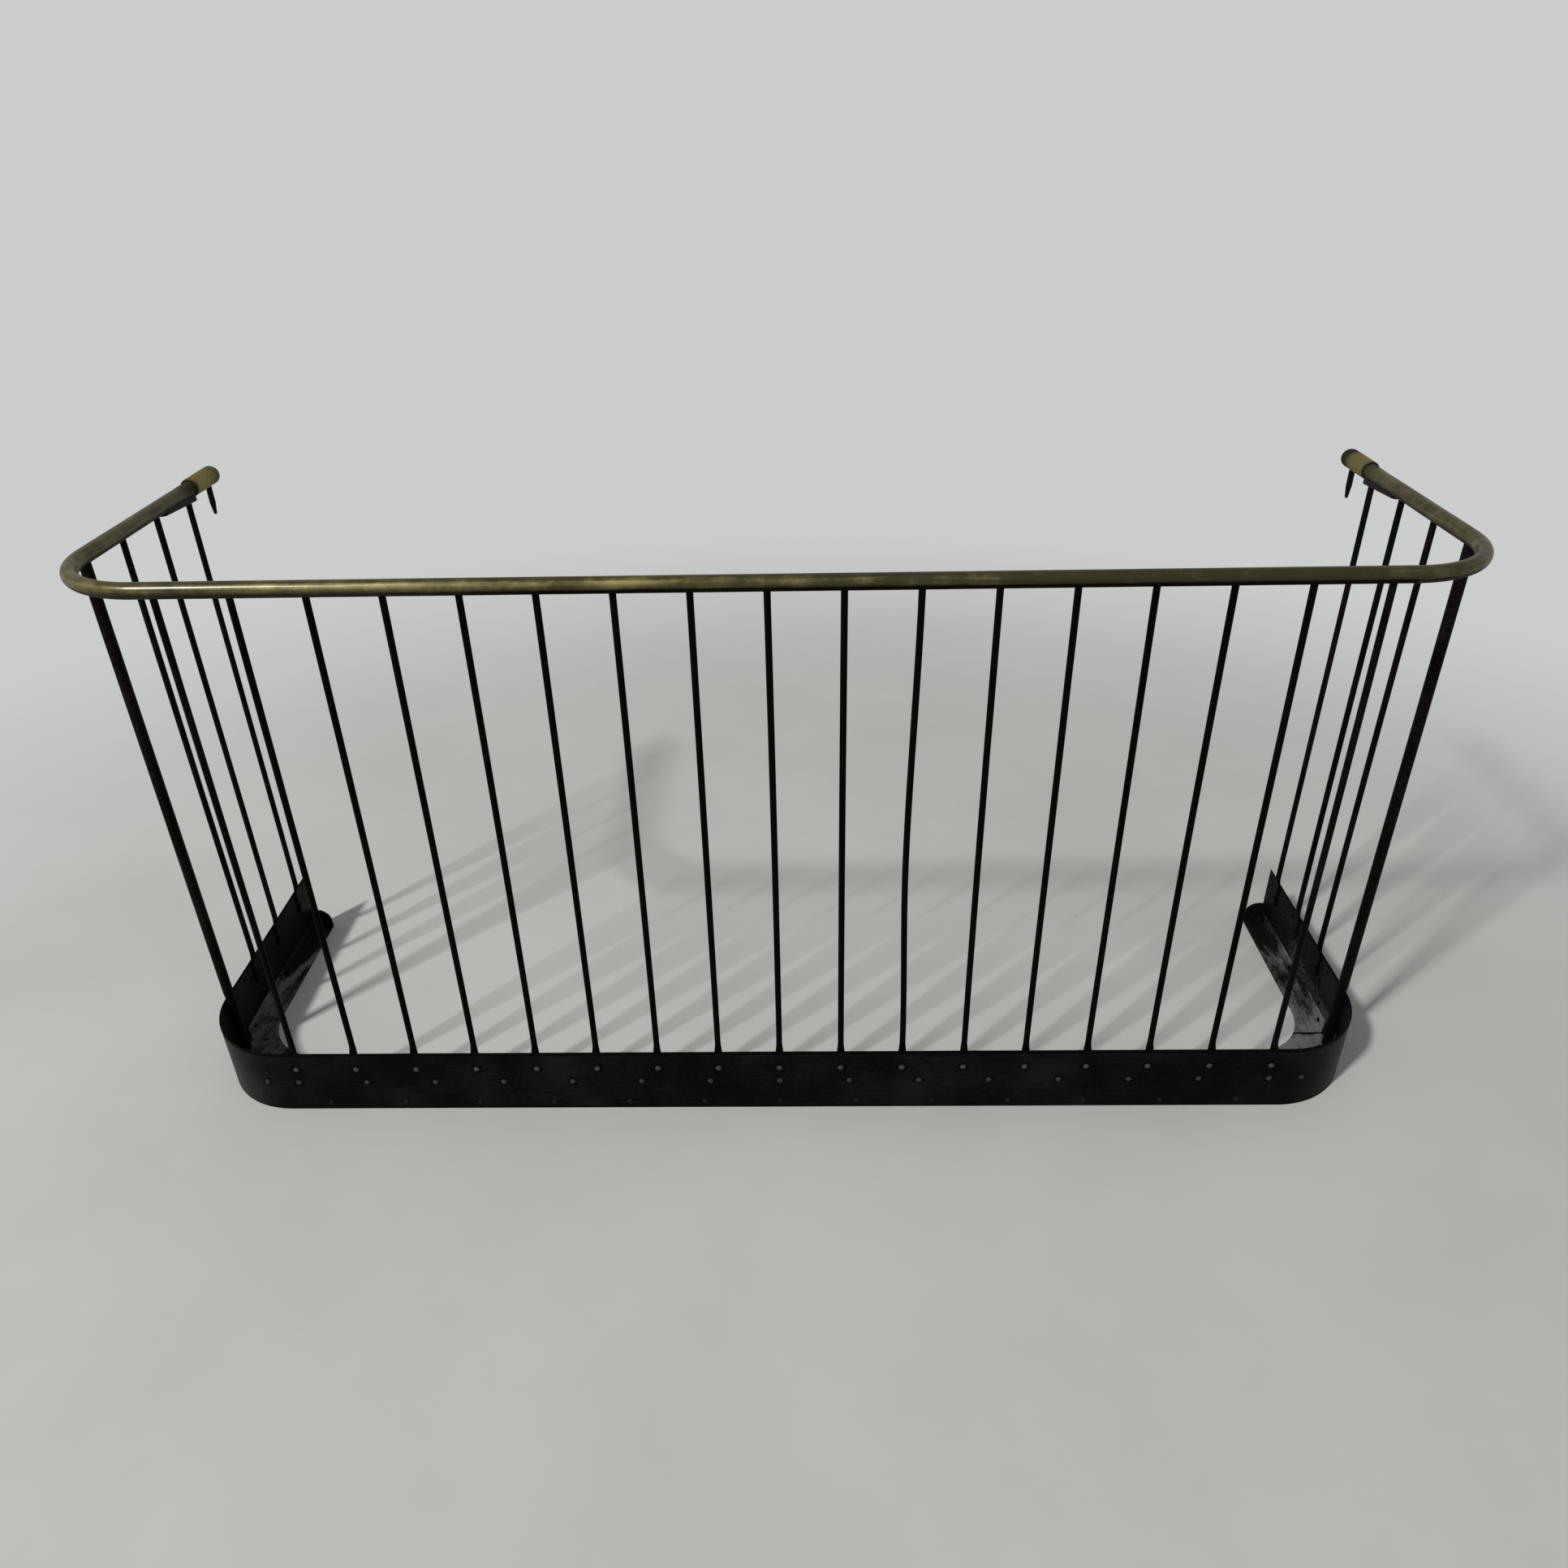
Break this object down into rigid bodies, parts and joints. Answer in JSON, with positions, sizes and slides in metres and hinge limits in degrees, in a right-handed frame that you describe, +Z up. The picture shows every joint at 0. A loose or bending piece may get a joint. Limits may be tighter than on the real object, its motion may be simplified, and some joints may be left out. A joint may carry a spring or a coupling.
{
  "type": "fire fender",
  "caption": "Tall three-sided hearth fender: a brass tube rail on round iron uprights over a riveted sheet-iron kerb with rounded corners, with two pins that drop into wall staples.",
  "frame": {"origin": "on the floor under the middle of the front row of uprights, on the underside of the front floor plate", "axes": "+X along the front to the right as seen from the room, +Y towards the wall, +Z up"},
  "size_m": [1.613, 0.4725, 0.7755],
  "materials": {
    "rail_brass": "aged brass, dark olive brown with paler worn patches, satin",
    "cap_brass": "aged cast brass, paler than the tube, satin",
    "bar_iron": "dull iron bar",
    "pin_iron": "black, worn",
    "bracket_iron": "brown black, worn",
    "rod_black": "black paint, satin, with brown tints",
    "kerb_black": "satin black paint with a grey sheen",
    "plate_worn": "black paint worn to grey",
    "strap_black": "black paint",
    "rivet_black": "black paint, rubbed on the heads"
  },
  "bodies": {
    "root": {"top_rail": "rail_brass", "rail_core_bar": "bar_iron", "rail_cap_left": "cap_brass", "rail_cap_right": "cap_brass", "wall_pin_left": "pin_iron", "wall_pin_right": "pin_iron", "rail_bracket_left": "bracket_iron", "rail_bracket_right": "bracket_iron", "front_upright_01": "rod_black", "front_upright_02": "rod_black", "front_upright_03": "rod_black", "front_upright_04": "rod_black", "front_upright_05": "rod_black", "front_upright_06": "rod_black", "front_upright_07": "rod_black", "front_upright_08": "rod_black", "front_upright_09": "rod_black", "front_upright_10": "rod_black", "front_upright_11": "rod_black", "front_upright_12": "rod_black", "front_upright_13": "rod_black", "front_upright_14": "rod_black", "front_upright_15": "rod_black", "front_upright_16": "rod_black", "front_upright_17": "rod_black", "left_upright_1": "rod_black", "left_upright_2": "rod_black", "left_upright_3": "rod_black", "right_upright_1": "rod_black", "right_upright_2": "rod_black", "right_upright_3": "rod_black", "corner_stay_left": "rod_black", "corner_stay_right": "rod_black", "kerb_front": "kerb_black", "kerb_left": "kerb_black", "kerb_right": "kerb_black", "kerb_strap": "strap_black", "joint_plate_left": "strap_black", "joint_plate_right": "strap_black", "hearth_plate_front": "plate_worn", "hearth_flange_left": "plate_worn", "hearth_flange_right": "plate_worn", "upright_rivets": "rivet_black", "strap_rivets": "rivet_black", "plate_rivets": "rivet_black", "joint_rivets": "rivet_black", "stay_rivets": "rivet_black", "bracket_screws": "bracket_iron"}
  },
  "joints": []
}
